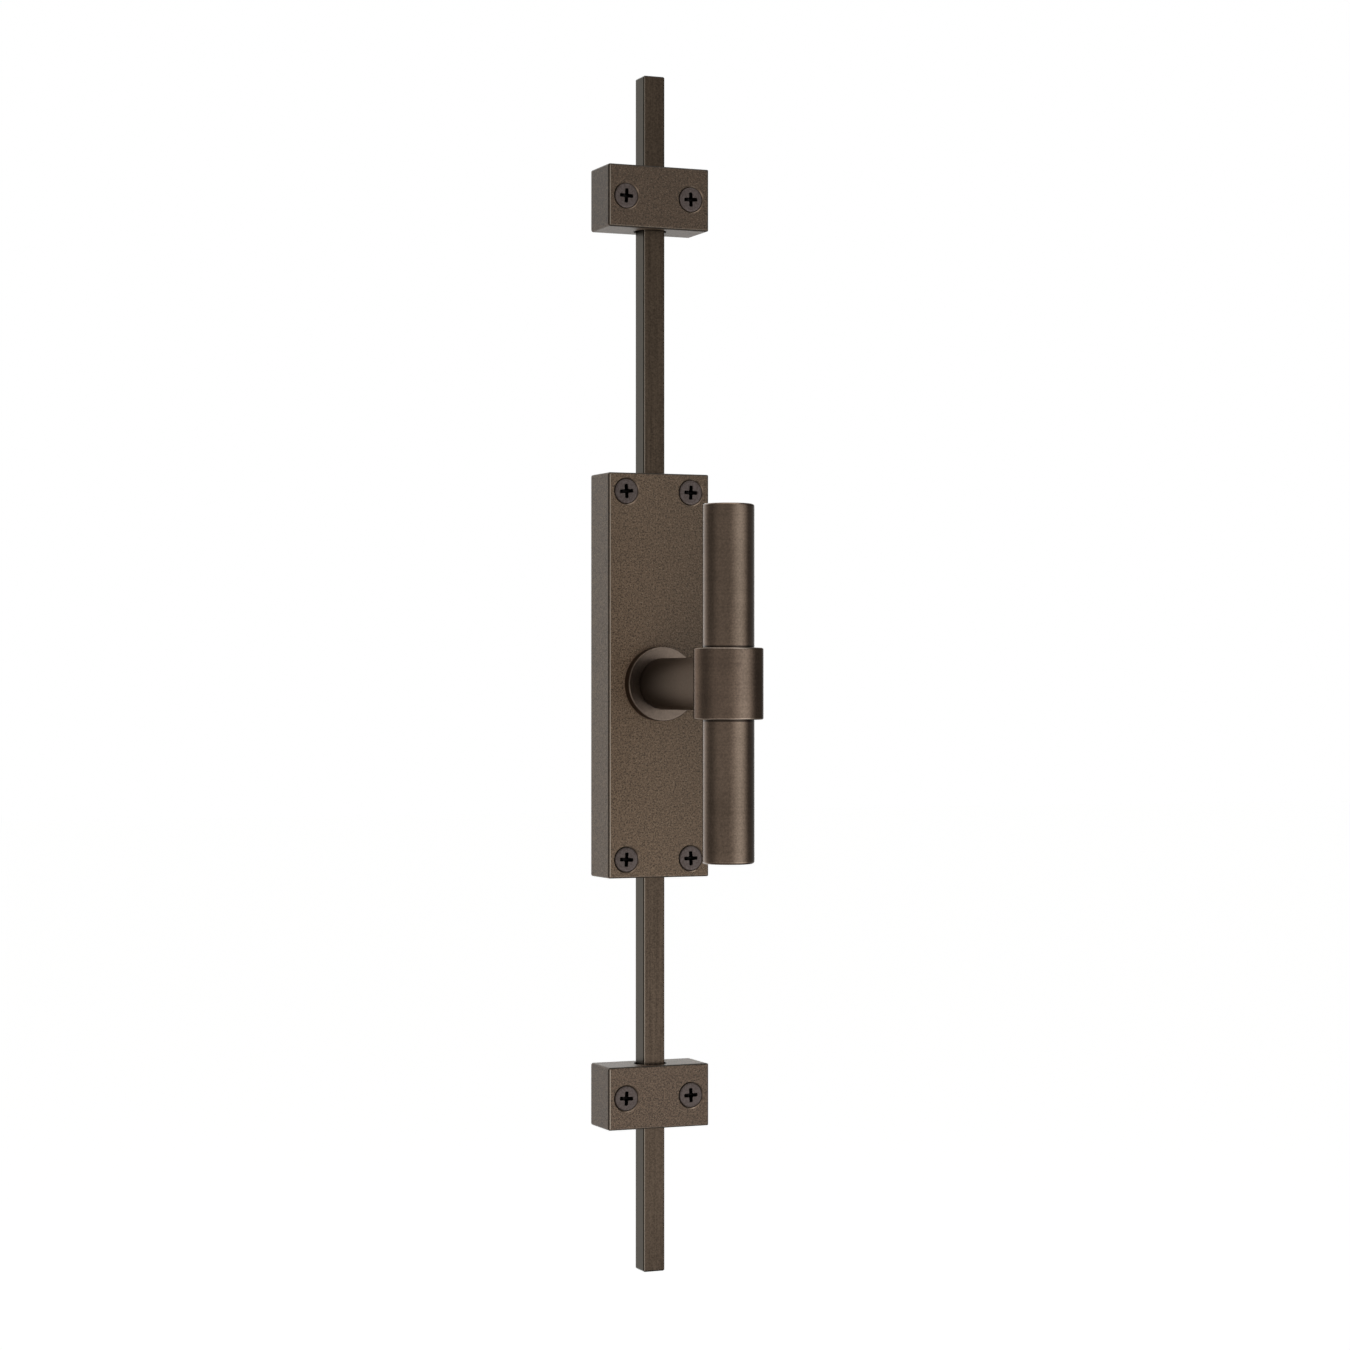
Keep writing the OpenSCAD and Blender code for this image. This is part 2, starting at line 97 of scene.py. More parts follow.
class Graph:
    """The node tree of a material or of the world, while it is written."""

    def __init__(self, tree):
        self.tree = tree
        tree.nodes.clear()

    def node(self, kind, settings=None, inputs=None, output=0):
        """Adds any node. An input is a value or a wire, and the output is the one that goes on as a wire."""
        made = self.tree.nodes.new(kind)
        for name, value in (settings or {}).items():
            setattr(made, name, value)
        for key, value in (inputs or {}).items():
            if isinstance(value, Wire):
                self.tree.links.new(value.socket, made.inputs[key])
            else:
                made.inputs[key].default_value = value
        return Wire(self, made.outputs[output]) if made.outputs else None

    def maths(self, operation, *values):
        return self.node("ShaderNodeMath", {"operation": operation}, dict(enumerate(values)))

    def vector_maths(self, operation, *values, output=0):
        return self.node("ShaderNodeVectorMath", {"operation": operation}, dict(enumerate(values)), output)

    def axis(self, vector, name):
        """One of a vector's three parts, X, Y or Z."""
        return self.node("ShaderNodeSeparateXYZ", inputs={0: vector}, output=name)

    def rise(self, value, low, high):
        """0 up to low, 1 from high on, and a soft slope between them."""
        settings = {"interpolation_type": "SMOOTHSTEP"}
        return self.node("ShaderNodeMapRange", settings, {"Value": value, "From Min": low, "From Max": high})

    def band(self, value, rising, falling):
        """1 between two soft slopes, and 0 outside of them."""
        return self.rise(value, *rising) * (1 - self.rise(value, *falling))

    def mix(self, share, first, second, blend="MIX"):
        """A colour that goes from the first to the second one as the share goes from 0 to 1."""
        settings = {"data_type": "RGBA", "blend_type": blend}
        return self.node("ShaderNodeMix", settings, {0: share, 6: first, 7: second}, output=2)


print("shader helpers ready")

# %% [markdown]
# The camera stands where the photographer's stood: a little to the left, level with the case, and about
# a metre away with a long lens, which keeps the rods almost parallel. Three measurements fix it: the
# viewing angle, the distance, and the pixel where the middle of the case's face has to appear.

# %% Place the camera
PHOTO_SIDE_PX = 1350
FOCAL_PX = 3144.6
CASE_MIDDLE_PX = (659.1, 675.4)
VIEW_FROM_LEFT = math.radians(22.24)
VIEW_FROM_ABOVE = math.radians(-0.24)
VIEW_DISTANCE = 1.1046
SENSOR_WIDTH_MM = 36


def towards(azimuth, elevation):
    """The way that leads off at these angles. Azimuth 0 is straight in front, and positive on the right."""
    return Vector((
        math.sin(azimuth) * math.cos(elevation),
        -math.cos(azimuth) * math.cos(elevation),
        math.sin(elevation),
    ))


case_low, case_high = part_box("case")
case_face = Vector((0, case_low.y, (case_low.z + case_high.z) / 2))
to_camera = towards(-VIEW_FROM_LEFT, VIEW_FROM_ABOVE)
right = Vector((math.cos(VIEW_FROM_LEFT), -math.sin(VIEW_FROM_LEFT), 0))
up = to_camera.cross(right)
metres_per_px = VIEW_DISTANCE / FOCAL_PX
aim = (
    case_face
    + right * (PHOTO_SIDE_PX / 2 - CASE_MIDDLE_PX[0]) * metres_per_px
    + up * (CASE_MIDDLE_PX[1] - PHOTO_SIDE_PX / 2) * metres_per_px
)

camera_data = bpy.data.cameras.new("photo_camera")
camera_data.sensor_width = SENSOR_WIDTH_MM
camera_data.lens = SENSOR_WIDTH_MM * FOCAL_PX / PHOTO_SIDE_PX
camera = bpy.data.objects.new("photo_camera", camera_data)
bpy.context.scene.collection.objects.link(camera)
camera.location = case_face + to_camera * VIEW_DISTANCE
camera.rotation_euler = (aim - camera.location).to_track_quat("-Z", "Y").to_euler()
bpy.context.scene.camera = camera
print("lens in mm:", round(camera_data.lens, 1))

# %% [markdown]
# Dark metal shows its surroundings more than its own colour, so the light is a small studio. What the metal
# reflects could be lamps and cards around the bolt, but a function of direction is easier to fit: white
# behind the bolt, dimmer at the left, a pale and slightly cool softbox just right of the camera, which draws
# the band down the bar, and dark at the right, which gives the round handle its dark edge. Each step below
# holds the angle where it begins, the angle where it ends, both in degrees, and the change in brightness.

# %% Describe the room that the metal mirrors
WHITE = (1, 1, 1, 1)
SOFTBOX_COLOUR = (0.99, 1.05, 1.10, 1)
SOFTBOX_RISES, SOFTBOX_FALLS = (-22, 30), (30, 80)
FRONT_BEGINS, FRONT_ENDS = (-150, -125), (125, 150)
BEHIND_BEGINS = (125, 155)
BEHIND_LEVEL = 1.6
STEPS_AROUND = [
    (-160, -112, -1.12),
    (-105, -60, 0.52),
    (*SOFTBOX_RISES, 1.60),
    (*SOFTBOX_FALLS, -2.30),
    (*BEHIND_BEGINS, 1.30),
]
DIMMED_UPWARD = [(3, 7, 0.67), (10, 34, -0.62)]
DIMMED_DOWNWARD = [(0, 2, 0.28), (5, 12, -0.8), (22, 44, 1.0)]
OVERHEAD = [(50, 75, 1.3)]
ABOVE_BEHIND = [(4, 12, 0.5)]


def in_radians(*slopes):
    return [[math.radians(degrees) for degrees in slope] for slope in slopes]


def stepped(graph, level, angle, steps):
    """A level that changes by each step as the angle passes it."""
    for low, high, change in steps:
        level = level + graph.rise(angle, math.radians(low), math.radians(high)) * change
    return level


def reflected_room(graph, place):
    """The room's colour, seen from the bolt towards a place. Azimuth 0 is in front, and 90 on the right."""
    way = graph.vector_maths("NORMALIZE", place)
    azimuth = graph.maths("ARCTAN2", graph.axis(way, "X"), graph.axis(way, "Y") * -1)
    elevation = graph.maths("ARCSINE", graph.axis(way, "Z"))
    around = stepped(graph, BEHIND_LEVEL, azimuth, STEPS_AROUND)
    dimmed = stepped(graph, stepped(graph, 0, elevation, DIMMED_UPWARD), elevation * -1, DIMMED_DOWNWARD)
    in_front = graph.band(azimuth, *in_radians(FRONT_BEGINS, FRONT_ENDS))
    behind = graph.rise(azimuth, *in_radians(BEHIND_BEGINS)[0])
    from_above = stepped(graph, behind * stepped(graph, 0, elevation, ABOVE_BEHIND), elevation, OVERHEAD)
    brightness = around * (1 - in_front * dimmed) + from_above
    softbox = graph.band(azimuth, *in_radians(SOFTBOX_RISES, SOFTBOX_FALLS))
    return graph.mix(1, graph.mix(softbox, WHITE, SOFTBOX_COLOUR), brightness, blend="MULTIPLY")


print("steps around the room:", len(STEPS_AROUND))

# %% [markdown]
# The camera sees a white backdrop, which is the world itself. A Light Path node tells its rays from those
# that the metal sends out, which find the room above. All other rays meet a plain fill, which is weaker from
# above, so that the tops of the pieces stay as dark as their fronts.

# %% Surround the bolt with a white studio
FILL_STRENGTH = 0.55
FILL_FADE_END = 0.7
FILL_LOSS_ABOVE = 0.7

bpy.context.scene.view_settings.view_transform = "Standard"
world = bpy.data.worlds.new("studio")
bpy.context.scene.world = world
world.use_nodes = True
studio = Graph(world.node_tree)


def ray_is(graph, kind):
    return graph.node("ShaderNodeLightPath", output=f"Is {kind} Ray")


def mix_shaders(graph, share, first, second):
    return graph.node("ShaderNodeMixShader", inputs={0: share, 1: first, 2: second})


def background(colour, strength):
    return studio.node("ShaderNodeBackground", inputs={"Color": colour, "Strength": strength})


way_out = studio.node("ShaderNodeTexCoord", output="Generated")
reflected = background(reflected_room(studio, way_out), 1)
seen = mix_shaders(studio, ray_is(studio, "Glossy"), background(WHITE, 1), reflected)
upward = studio.axis(way_out, "Z")
fill = background(1 - studio.rise(upward, 0, FILL_FADE_END) * FILL_LOSS_ABOVE, FILL_STRENGTH)
shown_ray = ray_is(studio, "Camera") + ray_is(studio, "Glossy") + ray_is(studio, "Transmission")
light = mix_shaders(studio, shown_ray, fill, seen)
studio.node("ShaderNodeOutputWorld", inputs={"Surface": light})
print("studio fill:", FILL_STRENGTH)

# %% [markdown]
# The room above already holds what the metal mirrors, so one lamp is enough. It is a lit card close to the
# bolt, low at the left, and it brightens the matt skin of the case and the guides from there. Reflections
# leave it out, because a card this close would put a hard-edged patch on the round handle.

# %% Hang the lit card
CARD_WIDTH, CARD_HEIGHT = 0.3, 0.4
CARD_AZIMUTH = math.radians(-28)
CARD_ELEVATION = math.radians(-24)
CARD_REACH = 0.38
CARD_STRENGTH = 2.6

card_data = bpy.data.lights.new("lit_card", "AREA")
card_data.shape = "RECTANGLE"
card_data.size = CARD_WIDTH
card_data.size_y = CARD_HEIGHT
card_data.energy = CARD_STRENGTH * math.pi * CARD_WIDTH * CARD_HEIGHT
card = bpy.data.objects.new("lit_card", card_data)
bpy.context.scene.collection.objects.link(card)
to_card = towards(CARD_AZIMUTH, CARD_ELEVATION)
card.location = case_face + to_card * CARD_REACH
card.rotation_euler = to_card.to_track_quat("Z", "Y").to_euler()
card.visible_glossy = False
print("card at", [round(c, 3) for c in card.location])

# %% [markdown]
# The floor is a pale sheet well below the rods. It glows a little for the camera, so that it joins the
# backdrop without a horizon, and the bolt's shadow still darkens it. Reflections find the room there, and
# from below the sheet is clear, so that the bolt can be looked at from there too.

# %% Lay the floor
FLOOR_DROP = 0.09
FLOOR_SIDE = 12
FLOOR_COLOUR = (0.85, 0.85, 0.84, 1)
FLOOR_GLOW = 0.81

floor_mesh = bpy.data.meshes.new("floor")
floor_z = cad_box[0].z - FLOOR_DROP
half_side = FLOOR_SIDE / 2
turning_signs = [(-1, -1), (1, -1), (1, 1), (-1, 1)]
floor_corners = [(half_side * x, half_side * y, floor_z) for x, y in turning_signs]
floor_mesh.from_pydata(floor_corners, [], [(0, 1, 2, 3)])
floor = bpy.data.objects.new("floor", floor_mesh)
bpy.context.scene.collection.objects.link(floor)

floor_finish = bpy.data.materials.new("pale_floor")
floor_finish.use_nodes = True
sheet = Graph(floor_finish.node_tree)
matt = sheet.node("ShaderNodeBsdfDiffuse", inputs={"Color": FLOOR_COLOUR})
glow = sheet.node("ShaderNodeEmission", inputs={"Color": WHITE, "Strength": FLOOR_GLOW})
glowing = sheet.node("ShaderNodeAddShader", inputs={0: matt, 1: glow})
seen_floor = mix_shaders(sheet, ray_is(sheet, "Camera") + ray_is(sheet, "Transmission"), matt, glowing)
room_colour = reflected_room(sheet, sheet.node("ShaderNodeTexCoord", output="Object"))
mirrored = sheet.node("ShaderNodeEmission", inputs={"Color": room_colour})
top_side = mix_shaders(sheet, ray_is(sheet, "Glossy"), seen_floor, mirrored)
from_below = sheet.node("ShaderNodeNewGeometry", output="Backfacing")
clear = sheet.node("ShaderNodeBsdfTransparent")
sheet.node("ShaderNodeOutputMaterial", inputs={"Surface": mix_shaders(sheet, from_below, top_side, clear)})
floor.data.materials.append(floor_finish)
print("floor at", round(floor_z, 3), "m")

# %% [markdown]
# All finishes share a few steps. Noise in the piece's own coordinates gives a grain, so it stays put when a
# piece moves. A tone made of such noise picks a colour between a dark and a light one, and the same tone
# raises a faint bump. A Principled shader then takes it all in. An image could show the same grain, but it
# would need a layout on each piece, and noise has none to stretch.

# %% Prepare the finishes
SPREAD = 0.15
STREAK_DETAIL = 3
BUMP_STRENGTH = 0.3
BUMP_DEPTH = 0.01 * MM


def new_finish(name):
    """A new material, its graph, and the place on the piece in metres."""
    material = bpy.data.materials.new(name)
    material.use_nodes = True
    graph = Graph(material.node_tree)
    return material, graph, graph.node("ShaderNodeTexCoord", output="Object")


def noise(graph, place, scale, detail=2, roughness=0.5):
    """Cloudy noise from 0 to 1; scale is the number of clouds in a metre."""
    inputs = {"Vector": place, "Scale": scale, "Detail": detail, "Roughness": roughness}
    return graph.node("ShaderNodeTexNoise", inputs=inputs)


def streaks_of(graph, place, clouds_along_axes, roughness=0.5):
    """Noise with its own number of clouds in a metre along each axis, which draws it out into streaks."""
    stretched = graph.vector_maths("MULTIPLY", place, clouds_along_axes)
    return noise(graph, stretched, 1, STREAK_DETAIL, roughness)


def toned(graph, tone, dark, light, spread=SPREAD):
    """A colour between dark and light. The spread is how far from the middle the tone reaches them."""
    return graph.mix(graph.rise(tone, 0.5 - spread, 0.5 + spread), dark, light)


def bumped(graph, height, strength=BUMP_STRENGTH, depth=BUMP_DEPTH):
    return graph.node("ShaderNodeBump", inputs={"Strength": strength, "Distance": depth, "Height": height})


def metal(graph, colour, roughness, bump, glancing=WHITE, bare=1.0, gloss=0.5):
    """A metal surface. Bare is the share that no skin covers, and glancing tints low reflections."""
    shader = graph.node("ShaderNodeBsdfPrincipled", inputs={
        "Base Color": colour,
        "Metallic": bare,
        "Specular IOR Level": gloss,
        "Roughness": roughness,
        "Specular Tint": glancing,
        "Normal": bump,
    })
    graph.node("ShaderNodeOutputMaterial", inputs={"Surface": shader})


print("bump depth in mm:", BUMP_DEPTH / MM)

# %% [markdown]
# Case, guides and rods have rounded front edges. Their outer part is painted darker as painted shade, and a
# pale line where an edge meets the front face is a painted highlight. Both follow from how squarely the
# surface faces the front, so two masks are read from its normal. The painted highlight shows only on the
# edges at the left and below.

# %% Mask the front edges
# Colours of painted shade and of a painted highlight, used on the front edges here and on the handle below.
PAINTED_SHADE = (0.012, 0.009, 0.007, 1)
PAINTED_HIGHLIGHT = (0.40, 0.34, 0.28, 1)
EDGE_BEGINS, EDGE_ENDS = (0.03, 0.15), (0.82, 0.90)
LINE_BEGINS, LINE_ENDS = (0.86, 0.93), (0.990, 0.999)
# The painted highlight shows only on edges that face this way, to the left and down.
HIGHLIGHT_SIDE = (-1, 0, -0.3)
HIGHLIGHT_SIDE_BEGINS = (0.03, 0.25)


def surface_normal(graph):
    return graph.node("ShaderNodeTexCoord", output="Normal")


def along(graph, vector, way):
    """How far a vector reaches along a way."""
    return graph.vector_maths("DOT_PRODUCT", vector, way, output="Value")


def facing_front(graph):
    return along(graph, surface_normal(graph), (0, -1, 0))


def front_edges(graph):
    """Two masks on the rounded front edges: painted shade on the outer part, and a painted highlight beside
    the front face on the left and lower edges.
    """
    facing = facing_front(graph)
    outer = graph.band(facing, EDGE_BEGINS, EDGE_ENDS)
    line = graph.band(facing, LINE_BEGINS, LINE_ENDS)
    highlight_side = graph.rise(along(graph, surface_normal(graph), HIGHLIGHT_SIDE), *HIGHLIGHT_SIDE_BEGINS)
    return outer, line * highlight_side


print("worn side:", HIGHLIGHT_SIDE)

# %% [markdown]
# Eight screws hold the case and the guides on the door, in rows of two. The finish changes around a screw,
# because the countersinks were cut after the blasting. The screws' places are read off the solids, half a
# head inside the ends of each box, and a mask grows round each of them.

# %% Find the screws
COUNTERSINK_ENDS = (0.6 * MM, 0.8 * MM)

head_low, head_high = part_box("upper_guide_screws")
HEAD_R = (head_high.z - head_low.z) / 2
HEAD_Y = head_low.y
SCREW_L = head_high.y - head_low.y
SCREW_X = head_high.x - HEAD_R
SCREW_ROWS = {}
for node in ("case_screws", "upper_guide_screws", "lower_guide_screws"):
    low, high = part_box(node)
    SCREW_ROWS[node] = sorted({round(low.z + HEAD_R, 6), round(high.z - HEAD_R, 6)})
SCREW_HEIGHTS = [height for row in SCREW_ROWS.values() for height in row]


def around_screws(graph, place):
    """A mask that is 1 up to the edge of each countersink and 0 beyond it."""
    aside = graph.maths("ABSOLUTE", graph.axis(place, "X")) - SCREW_X
    height = graph.axis(place, "Z")
    near = 0
    for screw_height in SCREW_HEIGHTS:
        above = height - screw_height
        past_head = graph.maths("SQRT", aside * aside + above * above) - HEAD_R
        near = near + (1 - graph.rise(past_head, *COUNTERSINK_ENDS))
    return near


print("heights of the screw rows:", SCREW_HEIGHTS)

# %% [markdown]
# The case and the guides are cast bronze, blasted with fine grit and darkened. Under the lens that is a
# dense grain of light and dark specks, less than half a millimetre across. The dark skin covers almost all
# of the metal, so it scatters light more than it mirrors it, and only the walls of the countersinks are
# smooth and bare. The guides are a little darker than the case, the upper one more than the lower one, so
# one function mixes three finishes.

# %% Mix the blasted bronze
GRAIN_DETAIL, GRAIN_ROUGHNESS = 4, 0.8
BLASTED_SPECKS, GLINT_SPECKS = 1700, 2600
FINE_SPREAD = 0.14
GLINT = (0.30, 0.22, 0.15, 1)
GLINT_BEGINS = (0.58, 0.70)
BARE_WALL = (0.15, 0.11, 0.08, 1)
WALL_BEGINS, WALL_ENDS = (0.40, 0.55), (0.80, 0.90)
GLINT_SHARE, SHADE_SHARE, HIGHLIGHT_SHARE = 0.5, 0.75, 0.8
MATT, MATT_GRAIN, HIGHLIGHT_POLISH, WALL_POLISH = 0.46, 0.08, 0.1, 0.2
BLASTED_BUMP, BLASTED_DEPTH = 0.5, 0.015 * MM
BLASTED_GLANCING = (0.84, 0.97, 0.94, 1)
BLASTED_GLOSS = 0.2
BARE_SHARE = 0.1


def grain_of(graph, place, scale):
    """Dense specks of many sizes; scale is the number of the largest in a metre."""
    return noise(graph, place, scale, GRAIN_DETAIL, GRAIN_ROUGHNESS)


def blasted_bronze(name, dark, light):
    material, graph, place = new_finish(name)
    grain = grain_of(graph, place, BLASTED_SPECKS)
    glints = graph.rise(noise(graph, place, GLINT_SPECKS, detail=1), *GLINT_BEGINS)
    sunk = around_screws(graph, place)
    wall = sunk * graph.band(facing_front(graph), WALL_BEGINS, WALL_ENDS)
    edge_shade, worn = [mask * (1 - sunk) for mask in front_edges(graph)]
    skin = toned(graph, grain, dark, light, FINE_SPREAD)
    glinting = graph.mix(glints * GLINT_SHARE, skin, GLINT)
    # Painted shade on the outer part of the edges, then a painted highlight on the line beside the front
    # face.
    edged = graph.mix(edge_shade * SHADE_SHARE, glinting, PAINTED_SHADE)
    lined = graph.mix(worn * HIGHLIGHT_SHARE, edged, PAINTED_HIGHLIGHT)
    colour = graph.mix(wall, lined, BARE_WALL)
    roughness = MATT + grain * MATT_GRAIN - worn * HIGHLIGHT_POLISH - wall * WALL_POLISH
    bare = BARE_SHARE + wall * (1 - BARE_SHARE)
    bump = bumped(graph, grain, BLASTED_BUMP, BLASTED_DEPTH)
    metal(graph, colour, roughness, bump, BLASTED_GLANCING, bare, BLASTED_GLOSS)
    return material


blasted_case = blasted_bronze(
    "blasted_case", dark=(0.043, 0.0282, 0.0182, 1), light=(0.188, 0.1255, 0.0815, 1),
)
blasted_upper = blasted_bronze(
    "blasted_upper_guide", dark=(0.030, 0.0196, 0.0126, 1), light=(0.139, 0.0905, 0.060, 1),
)
blasted_lower = blasted_bronze(
    "blasted_lower_guide", dark=(0.035, 0.0232, 0.0154, 1), light=(0.162, 0.107, 0.0735, 1),
)
print("made", blasted_case.name, blasted_upper.name, "and", blasted_lower.name)

# %% [markdown]
# The handle carries three painted marks. Painted shade darkens the neck towards the case, and painted shade
# sits on the bar in the corner beside the ring. The ring's own edges get a painted highlight. Noise alone
# can't tell these places, so three masks are measured from the case's face and from the ring's box.

# %% Mask the painted shade and highlight on the handle
FULL_SHADE_REACH, NO_SHADE_REACH = 14 * MM, 46 * MM
CORNER_BEGINS, CORNER_ENDS = (0, 0.05 * MM), (0.4 * MM, 0.9 * MM)
RING_EDGE_BEGINS = (-0.6 * MM, -0.3 * MM)
RING_END_BEGINS = (0.85, 0.98)

ring_low, ring_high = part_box("grip_ring")
RING_MIDDLE = (ring_low.z + ring_high.z) / 2
RING_HALF = (ring_high.z - ring_low.z) / 2


def close_to_case(graph, place):
    return graph.rise(graph.axis(place, "Y"), case_face.y - NO_SHADE_REACH, case_face.y - FULL_SHADE_REACH)


def beside_ring_ends(graph, place):
    """Two masks: the corner just past the ring's ends, and the ring's edge just before them."""
    past_ring = graph.maths("ABSOLUTE", graph.axis(place, "Z") - RING_MIDDLE) - RING_HALF
    in_corner = graph.band(past_ring, CORNER_BEGINS, CORNER_ENDS)
    upright = graph.maths("ABSOLUTE", graph.axis(surface_normal(graph), "Z"))
    on_end = graph.rise(upright, *RING_END_BEGINS)
    return in_corner, graph.rise(past_ring, *RING_EDGE_BEGINS) * (1 - on_end)


print("length of the ring in mm:", round(RING_HALF * 2 / MM, 2))

# %% [markdown]
# The handle and its collar are turned from the same bronze as the case, and only brushed before they were
# darkened. Their skin is smoother, with faint rings left by the lathe around each piece's own axis. A wave
# would draw these rings too evenly, so they are noise that is packed close along that axis. The bar, which
# hands polish, is the smoothest and the neck the dullest, so one function mixes four finishes.

# %% Mix the turned bronze
CLOUDS_ALONG, CLOUDS_ACROSS = 1600, 25
UPRIGHT_AXIS = (CLOUDS_ACROSS, CLOUDS_ACROSS, CLOUDS_ALONG)
SPINDLE_AXIS = (CLOUDS_ACROSS, CLOUDS_ALONG, CLOUDS_ACROSS)
STREAK_ROUGHNESS = 0.6
TURNED_SPECKS, TURNED_CLOUDS = 1500, 60
LATHE_SHARE, SPECK_SHARE, CLOUD_SHARE = 0.15, 0.6, 0.25
TURNED_BUMP = 0.15
UNEVENNESS = 0.08


def turned_bronze(name, axis, dark, light, smoothest, glancing, foot_shade=0.0, corner=0.0, worn=0.0):
    """The axis is the one that the piece was turned on. The last three are shares of painted shade by the
    case, of painted shade in the corner by the ring, and of a painted highlight on the ring's edges."""
    material, graph, place = new_finish(name)
    rings = streaks_of(graph, place, axis, STREAK_ROUGHNESS)
    grain = grain_of(graph, place, TURNED_SPECKS)
    clouds = noise(graph, place, TURNED_CLOUDS)
    tone = rings * LATHE_SHARE + grain * SPECK_SHARE + clouds * CLOUD_SHARE
    in_corner, on_edge = beside_ring_ends(graph, place)
    unshaded = toned(graph, tone, dark, light)
    # Painted shade on the neck by the case and on the bar beside the ring, then a painted highlight on the
    # ring's edges.
    foot_shaded = graph.mix(close_to_case(graph, place) * foot_shade, unshaded, PAINTED_SHADE)
    corner_shaded = graph.mix(in_corner * corner, foot_shaded, PAINTED_SHADE)
    colour = graph.mix(on_edge * worn, corner_shaded, PAINTED_HIGHLIGHT)
    metal(graph, colour, smoothest + tone * UNEVENNESS, bumped(graph, tone, TURNED_BUMP), glancing)
    return material


turned_upright = turned_bronze(
    "turned_bronze_upright", UPRIGHT_AXIS, smoothest=0.15, glancing=WHITE, corner=0.85,
    dark=(0.073, 0.0525, 0.038, 1), light=(0.141, 0.101, 0.074, 1),
)
turned_ring = turned_bronze(
    "turned_bronze_ring", UPRIGHT_AXIS, smoothest=0.17, glancing=(0.60, 0.58, 0.57, 1), worn=0.3,
    dark=(0.069, 0.049, 0.036, 1), light=(0.133, 0.094, 0.069, 1),
)
turned_collar = turned_bronze(
    "turned_bronze_collar", SPINDLE_AXIS, smoothest=0.29, glancing=(0.70, 0.66, 0.63, 1),
    dark=(0.077, 0.057, 0.044, 1), light=(0.115, 0.085, 0.065, 1),
)
turned_neck = turned_bronze(
    "turned_bronze_neck", SPINDLE_AXIS, smoothest=0.52, glancing=(1.0, 0.90, 0.82, 1), foot_shade=0.65,
    dark=(0.061, 0.045, 0.034, 1), light=(0.091, 0.068, 0.052, 1),
)
print("made", turned_upright.name, turned_ring.name, turned_collar.name, "and", turned_neck.name)

# %% [markdown]
# The rods are drawn bar. Drawing leaves long faint lines down their length, which are the same kind of
# streaks as the lathe's rings. The dark skin is denser than on the case, and the edges carry the same painted
# shade and painted highlight as those of the case. The upper rod is the darker of the two.

# %% Mix the drawn bronze
ROD_HIGHLIGHT = (0.44, 0.37, 0.30, 1)
ROD_GLANCING = (0.70, 0.72, 0.71, 1)
DRAWN_AXIS = (1500, 1500, 30)
DRAWN_SPECKS = 2200
LINE_SHARE = 0.25
ROD_SHADE_SHARE, ROD_HIGHLIGHT_SHARE = 0.6, 0.7
ROD_ROUGHNESS, ROD_UNEVENNESS = 0.28, 0.1


def drawn_bronze(name, dark, light):
    material, graph, place = new_finish(name)
    lines = streaks_of(graph, place, DRAWN_AXIS, STREAK_ROUGHNESS)
    tone = lines * LINE_SHARE + grain_of(graph, place, DRAWN_SPECKS) * (1 - LINE_SHARE)
    edge_shade, worn = front_edges(graph)
    skin = toned(graph, tone, dark, light, FINE_SPREAD)
    # Painted shade on the outer part of the edges, then a painted highlight on the line beside the front
    # face.
    edged = graph.mix(edge_shade * ROD_SHADE_SHARE, skin, PAINTED_SHADE)
    colour = graph.mix(worn * ROD_HIGHLIGHT_SHARE, edged, ROD_HIGHLIGHT)
    metal(graph, colour, ROD_ROUGHNESS + tone * ROD_UNEVENNESS, bumped(graph, tone), ROD_GLANCING)
    return material


drawn_upper = drawn_bronze("drawn_upper_rod", (0.0218, 0.0151, 0.0103, 1), (0.0518, 0.036, 0.0245, 1))
drawn_lower = drawn_bronze("drawn_lower_rod", (0.024, 0.0166, 0.0116, 1), (0.057, 0.0397, 0.0276, 1))
print("made", drawn_upper.name, "and", drawn_lower.name)

# %% [markdown]
# The screws were blackened after their heads were formed: greyer and slightly purple beside the bronze.
# Below the head's face, in the recess and round the rim, the colour falls to almost black, which is painted
# shade. The depth is read from the place on the screw, so one material does for the face and the recess.

# %% Mix the screw finish
# Painted shade: the near-black colour of the screw recesses and of the hardened parts inside the case.
NEAR_BLACK_SHADE = (0.004, 0.004, 0.004, 1)
SCREW_DARK, SCREW_LIGHT = (0.047, 0.0355, 0.031, 1), (0.068, 0.0535, 0.048, 1)
RECESS_BEGINS, RECESS_ENDS = (0.05 * MM, 0.5 * MM), (2.8 * MM, 3 * MM)
RECESS_SHARE = 0.92
SCREW_SPECKS, SCREW_DETAIL = 1800, 3
SCREW_ROUGHNESS = 0.42


def blackened_screw():
    material, graph, place = new_finish("blackened_screw")
    grain = noise(graph, place, SCREW_SPECKS, SCREW_DETAIL)
    below_face = graph.axis(place, "Y") - HEAD_Y
    in_recess = graph.band(below_face, RECESS_BEGINS, RECESS_ENDS)
    face = toned(graph, grain, SCREW_DARK, SCREW_LIGHT)
    # Painted shade in the recess and round the rim of the head.
    colour = graph.mix(in_recess * RECESS_SHARE, face, NEAR_BLACK_SHADE)
    metal(graph, colour, SCREW_ROUGHNESS + grain * UNEVENNESS, bumped(graph, grain))
    return material


blackened = blackened_screw()
print("made", blackened.name)

# %% [markdown]
# The works inside the case and the plate that closes its back are brushed steel, and the washer in front of
# the spindle's flange is brass. The spring washer and the small screws are hardened, which leaves steel
# darker, and behind the back plate's face they are painted almost black as painted shade. One function makes
# the three metals.

